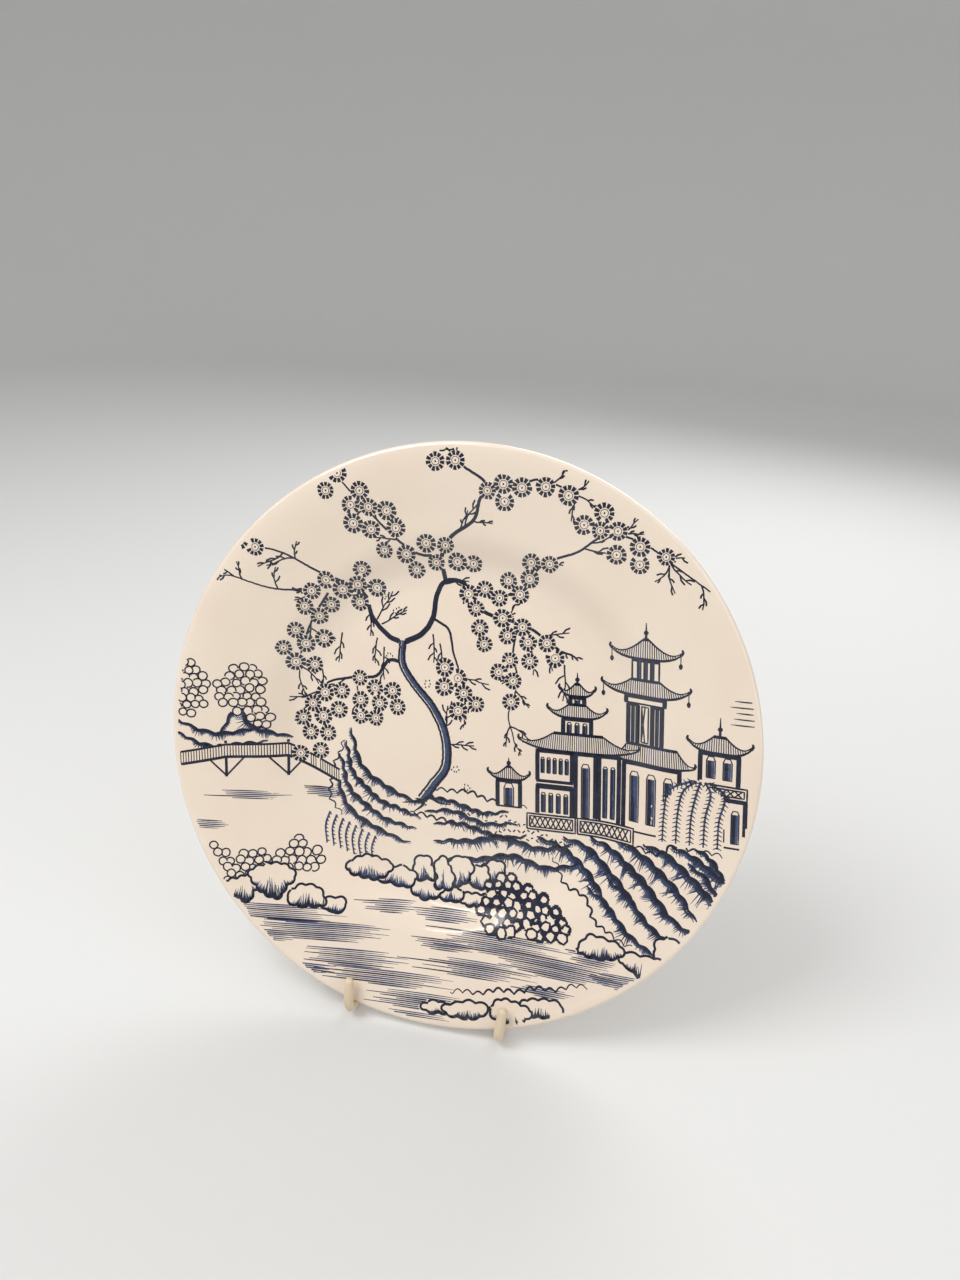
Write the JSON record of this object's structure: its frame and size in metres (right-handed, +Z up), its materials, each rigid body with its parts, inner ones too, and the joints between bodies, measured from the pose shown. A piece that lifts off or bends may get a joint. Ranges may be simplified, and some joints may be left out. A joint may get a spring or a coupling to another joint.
{
  "type": "plate display stand",
  "caption": "Folding wire easel stand in vinyl-coated steel, with hooked prongs and a hinged rear strut, holding a round glazed plate that lifts off.",
  "frame": {"origin": "on the table, under the middle of the whole object with the strut open and the plate in place", "axes": "+X to the right seen from the front, +Y towards the back, where the strut stands, +Z up"},
  "size_m": [0.254, 0.102, 0.2488],
  "materials": {
    "steel_wire": "drawn mild steel wire, bare only at its cut ends",
    "ivory_vinyl": "ivory vinyl dip coat with a soft sheen and a few small pits",
    "white_glaze": "clear gloss glaze over warm white earthenware"
  },
  "bodies": {
    "front_frame": {"front_wire": "steel_wire", "hinge_rail": "steel_wire", "front_coating": "ivory_vinyl"},
    "strut": {"strut_wire": "steel_wire", "strut_coating": "ivory_vinyl"},
    "plate": {"display_plate": "white_glaze"}
  },
  "joints": [
    {"name": "strut_fold", "type": "hinge", "parent": "front_frame", "child": "strut", "pos_m": [0, 0.00991, 0.10313], "axis": [-1, 0, 0], "range_deg": [0, 36]},
    {"name": "plate_lift", "type": "slide", "parent": "front_frame", "child": "plate", "axis": [0, 0.2504, 0.9681], "range_m": [0, 0.16]}
  ]
}
